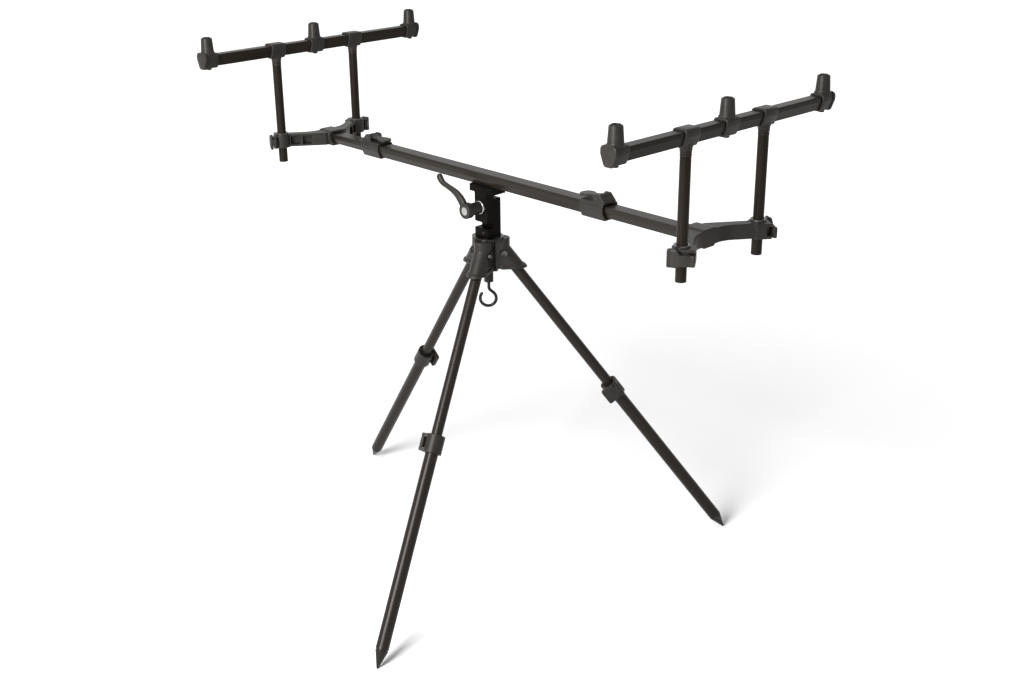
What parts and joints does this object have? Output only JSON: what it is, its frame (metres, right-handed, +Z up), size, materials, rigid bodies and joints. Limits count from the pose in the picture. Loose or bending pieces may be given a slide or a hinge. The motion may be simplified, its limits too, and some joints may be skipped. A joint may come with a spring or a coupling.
{
  "type": "tripod rod pod",
  "caption": "Folding tripod stand with a tilting telescopic bar and swept heads, each raising a cross bar of threaded sockets for fishing rod rests.",
  "frame": {"origin": "centre of the ground plan, on the ground under the spikes", "axes": "+X along the bar towards its near end, +Y along the cross bars, +Z up"},
  "size_m": [0.8816, 0.6508, 0.7776],
  "materials": {
    "tube": "black satin anodised",
    "nylon": "fine textured black nylon",
    "plain_steel": "plain steel",
    "dark_steel": "black coated steel"
  },
  "bodies": {
    "hub": {"hub": "nylon", "leg_pivot_bolts": "dark_steel", "leg_pivot_nuts": "plain_steel", "hook_plug": "nylon", "weight_hook": "dark_steel"},
    "leg_front": {"leg_plug_front": "nylon", "upper_leg_front": "tube"},
    "foot_front": {"lower_leg_front": "tube", "leg_collar_front": "nylon", "leg_spike_front": "dark_steel"},
    "leg_lever_front": {"leg_lever_front": "nylon"},
    "leg_right": {"leg_plug_right": "nylon", "upper_leg_right": "tube"},
    "foot_right": {"lower_leg_right": "tube", "leg_collar_right": "nylon", "leg_spike_right": "dark_steel"},
    "leg_lever_right": {"leg_lever_right": "nylon"},
    "leg_back": {"leg_plug_back": "nylon", "upper_leg_back": "tube"},
    "foot_back": {"lower_leg_back": "tube", "leg_collar_back": "nylon", "leg_spike_back": "dark_steel"},
    "leg_lever_back": {"leg_lever_back": "nylon"},
    "mast": {"mast_block": "nylon", "swivel_washer": "dark_steel", "mast_bolt": "plain_steel", "mast_lock_nut": "plain_steel", "mast_set_screw": "plain_steel", "tilt_bolt": "plain_steel"},
    "tilt_lever": {"tilt_lever": "nylon", "tilt_lever_screw": "plain_steel", "tilt_washer": "plain_steel"},
    "bar": {"bar_bracket": "nylon", "bracket_screws": "dark_steel", "main_tube": "tube", "bar_collar_near": "nylon", "bar_collar_far": "nylon", "bar_lever_pins": "dark_steel"},
    "slide_near": {"inner_bar_near": "tube", "head_near": "nylon", "stem_bushes_near": "nylon"},
    "bar_lever_near": {"bar_lever_near": "nylon"},
    "frame_near": {"stems_near": "tube", "tee_clamps_near": "nylon", "buzz_tube_near": "tube", "rod_sockets_near": "nylon", "thread_inserts_near": "dark_steel"},
    "stem_lever_near_left": {"stem_lever_near_left": "nylon"},
    "stem_lever_near_right": {"stem_lever_near_right": "nylon"},
    "slide_far": {"inner_bar_far": "tube", "head_far": "nylon", "stem_bushes_far": "nylon"},
    "bar_lever_far": {"bar_lever_far": "nylon"},
    "frame_far": {"stems_far": "tube", "tee_clamps_far": "nylon", "buzz_tube_far": "tube", "rod_sockets_far": "nylon", "thread_inserts_far": "dark_steel"},
    "stem_lever_far_left": {"stem_lever_far_left": "nylon"},
    "stem_lever_far_right": {"stem_lever_far_right": "nylon"}
  },
  "joints": [
    {"name": "leg_fold_front", "type": "hinge", "parent": "hub", "child": "leg_front", "pos_m": [-0.00144, 0.00525, 0.48729], "axis": [0.9259, 0.3778, 0], "range_deg": [0, 36]},
    {"name": "leg_slide_front", "type": "slide", "parent": "leg_front", "child": "foot_front", "axis": [0.2232, -0.5468, -0.807], "range_m": [-0.14, 0.06]},
    {"name": "leg_lock_front", "type": "hinge", "parent": "foot_front", "child": "leg_lever_front", "pos_m": [0.0509, -0.16216, 0.26203], "axis": [-0.2232, 0.5468, 0.807], "range_deg": [0, 100]},
    {"name": "leg_fold_right", "type": "hinge", "parent": "hub", "child": "leg_right", "pos_m": [0.00373, 0.043, 0.48729], "axis": [-0.7902, 0.6129, 0], "range_deg": [0, 36]},
    {"name": "leg_slide_right", "type": "slide", "parent": "leg_right", "child": "foot_right", "axis": [0.362, 0.4667, -0.807], "range_m": [-0.14, 0.06]},
    {"name": "leg_lock_right", "type": "hinge", "parent": "foot_right", "child": "leg_lever_right", "pos_m": [0.12255, 0.17203, 0.26203], "axis": [-0.362, -0.4667, 0.807], "range_deg": [0, 100]},
    {"name": "leg_fold_back", "type": "hinge", "parent": "hub", "child": "leg_back", "pos_m": [-0.03155, 0.0286, 0.48729], "axis": [-0.1357, -0.9907, 0], "range_deg": [0, 36]},
    {"name": "leg_slide_back", "type": "slide", "parent": "leg_back", "child": "foot_back", "axis": [-0.5851, 0.0802, -0.807], "range_m": [-0.14, 0.06]},
    {"name": "leg_lock_back", "type": "hinge", "parent": "foot_back", "child": "leg_lever_back", "pos_m": [-0.2027, 0.06699, 0.26203], "axis": [0.5851, -0.0802, 0.807], "range_deg": [0, 100]},
    {"name": "mast_swivel", "type": "hinge", "parent": "hub", "child": "mast", "pos_m": [-0.00975, 0.02562, 0.50929], "axis": [0, 0, 1], "continuous": true},
    {"name": "bar_tilt", "type": "hinge", "parent": "mast", "child": "bar", "pos_m": [-0.00975, 0.02562, 0.55829], "axis": [0, 1, 0], "range_deg": [-30, 30]},
    {"name": "tilt_lock", "type": "hinge", "parent": "mast", "child": "tilt_lever", "pos_m": [-0.00975, -0.00438, 0.55829], "axis": [0, 1, 0], "range_deg": [-30, 110]},
    {"name": "bar_slide_near", "type": "slide", "parent": "bar", "child": "slide_near", "axis": [1, 0, 0], "range_m": [-0.125, 0.04]},
    {"name": "bar_lock_near", "type": "hinge", "parent": "bar", "child": "bar_lever_near", "pos_m": [0.21675, 0.02562, 0.61679], "axis": [0, 1, 0], "range_deg": [0, 95]},
    {"name": "frame_slide_near", "type": "slide", "parent": "slide_near", "child": "frame_near", "axis": [0, 0, 1], "range_m": [-0.1, 0.02]},
    {"name": "stem_lock_near_left", "type": "hinge", "parent": "slide_near", "child": "stem_lever_near_left", "pos_m": [0.40976, -0.06564, 0.59929], "axis": [0, 0, -1], "range_deg": [0, 90]},
    {"name": "stem_lock_near_right", "type": "hinge", "parent": "slide_near", "child": "stem_lever_near_right", "pos_m": [0.40976, 0.11688, 0.59929], "axis": [0, 0, 1], "range_deg": [0, 90]},
    {"name": "bar_slide_far", "type": "slide", "parent": "bar", "child": "slide_far", "axis": [-1, 0, 0], "range_m": [-0.078, 0.04]},
    {"name": "bar_lock_far", "type": "hinge", "parent": "bar", "child": "bar_lever_far", "pos_m": [-0.27225, 0.02562, 0.61679], "axis": [0, -1, 0], "range_deg": [0, 95]},
    {"name": "frame_slide_far", "type": "slide", "parent": "slide_far", "child": "frame_far", "axis": [0, 0, 1], "range_m": [-0.1, 0.02]},
    {"name": "stem_lock_far_left", "type": "hinge", "parent": "slide_far", "child": "stem_lever_far_left", "pos_m": [-0.40976, -0.06564, 0.59929], "axis": [0, 0, 1], "range_deg": [0, 90]},
    {"name": "stem_lock_far_right", "type": "hinge", "parent": "slide_far", "child": "stem_lever_far_right", "pos_m": [-0.40976, 0.11688, 0.59929], "axis": [0, 0, -1], "range_deg": [0, 90]}
  ]
}
